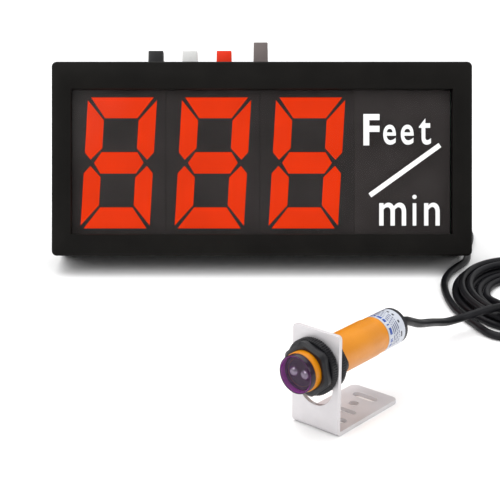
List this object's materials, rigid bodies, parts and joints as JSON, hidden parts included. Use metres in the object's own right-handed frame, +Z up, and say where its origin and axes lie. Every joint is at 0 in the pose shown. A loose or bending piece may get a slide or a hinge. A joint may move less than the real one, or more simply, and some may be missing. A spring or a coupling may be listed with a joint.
{
  "type": "line speed display with sensor",
  "caption": "Slim boxed LED line-speed readout with top push-buttons on a fold-out prop, wired to a cylindrical photoelectric sensor on a slotted angle bracket.",
  "frame": {"origin": "on the supporting surface, under the middle of the bounding box of the set without its lead", "axes": "+X to the right along the display, +Y from the sensor back to the display, +Z up from the surface"},
  "size_m": [0.3174, 0.3143, 0.1267],
  "materials": {
    "case": "black moulded ABS with a fine satin grain",
    "screw": "blackened steel",
    "window": "smoked clear acrylic, glossy",
    "rubber": "soft black rubber",
    "module": "dark grey matt plastic",
    "lit_bar": "orange-red diffuser, lit from behind",
    "board": "green solder mask over glass fibre",
    "brass": "turned brass",
    "inner_plastic": "black moulded plastic",
    "cap_black": "black moulded key cap",
    "cap_white": "white moulded key cap",
    "cap_red": "red moulded key cap",
    "cap_grey": "warm grey moulded key cap",
    "steel": "bright stainless sheet, lightly brushed",
    "barrel": "orange-yellow moulded plastic with a coarse thread",
    "label": "printed film label under a clear sleeve",
    "nut": "black moulded nylon",
    "lens": "dark purple filter plastic, polished",
    "emitter": "clear epoxy",
    "indicator": "red tinted epoxy",
    "lead": "black flexible cable jacket"
  },
  "bodies": {
    "base": {"front_case": "case", "rear_cover": "case", "cover_screw_1": "screw", "cover_screw_2": "screw", "cover_screw_3": "screw", "cover_screw_4": "screw", "window": "window", "window_gasket": "rubber", "digit_housing_1": "module", "digit_housing_2": "module", "digit_housing_3": "module", "digit_diffuser_1": "lit_bar", "digit_diffuser_2": "lit_bar", "digit_diffuser_3": "lit_bar", "display_board": "board", "main_board": "board", "button_board": "board", "standoff_1": "brass", "standoff_2": "brass", "standoff_3": "brass", "standoff_4": "brass", "switch_body_black": "inner_plastic", "switch_body_white": "inner_plastic", "switch_body_red": "inner_plastic", "switch_body_power": "inner_plastic", "dc_inlet": "inner_plastic", "gland_body": "nut", "gland_locknut": "nut", "gland_cap": "nut", "stand_pin": "steel", "sensor_bracket": "steel", "lead_from_sensor": "lead", "lead_coil": "lead", "lead_to_display": "lead"},
    "button_black": {"button_black": "cap_black"},
    "button_white": {"button_white": "cap_white"},
    "button_red": {"button_red": "cap_red"},
    "button_power": {"button_power": "cap_grey"},
    "prop": {"stand_leg": "case", "stand_foot": "rubber"},
    "sensor": {"sensor_barrel": "barrel", "label_sleeve": "label", "lens_cap": "lens", "optics_holder": "inner_plastic", "emitter_led": "emitter", "receiver_diode": "emitter", "sensor_board": "board", "rear_cap": "nut", "indicator_led": "indicator", "strain_relief": "lead"},
    "front_nut": {"front_nut": "nut"},
    "rear_nut": {"rear_nut": "nut"},
    "adjusting_screw": {"adjusting_screw": "brass"}
  },
  "joints": [
    {"name": "press_black", "type": "slide", "parent": "base", "child": "button_black", "axis": [0, -0.3272, -0.9449], "range_m": [0, 0.002], "stiffness_N_per_m": 400},
    {"name": "press_white", "type": "slide", "parent": "base", "child": "button_white", "axis": [0, -0.3272, -0.9449], "range_m": [0, 0.002], "stiffness_N_per_m": 400},
    {"name": "press_red", "type": "slide", "parent": "base", "child": "button_red", "axis": [0, -0.3272, -0.9449], "range_m": [0, 0.002], "stiffness_N_per_m": 400},
    {"name": "press_power", "type": "slide", "parent": "base", "child": "button_power", "axis": [0, -0.3272, -0.9449], "range_m": [0, 0.003], "stiffness_N_per_m": 400},
    {"name": "prop_fold", "type": "hinge", "parent": "base", "child": "prop", "pos_m": [0, 0.12463, 0.0772], "axis": [1, 0, 0], "range_deg": [-39, 0]},
    {"name": "sensor_height", "type": "slide", "parent": "base", "child": "sensor", "axis": [0, 0, 1], "range_m": [-0.009, 0]},
    {"name": "front_nut_turn", "type": "hinge", "parent": "sensor", "child": "front_nut", "pos_m": [0.0213, -0.1398, 0.031], "axis": [0.6508, 0.7593, 0], "continuous": true},
    {"name": "rear_nut_turn", "type": "hinge", "parent": "sensor", "child": "rear_nut", "pos_m": [0.0213, -0.1398, 0.031], "axis": [0.6508, 0.7593, 0], "continuous": true},
    {"name": "sensitivity_turn", "type": "hinge", "parent": "sensor", "child": "adjusting_screw", "pos_m": [0.06067, -0.09847, 0.0362], "axis": [0.6508, 0.7593, 0], "range_deg": [-135, 135]}
  ]
}
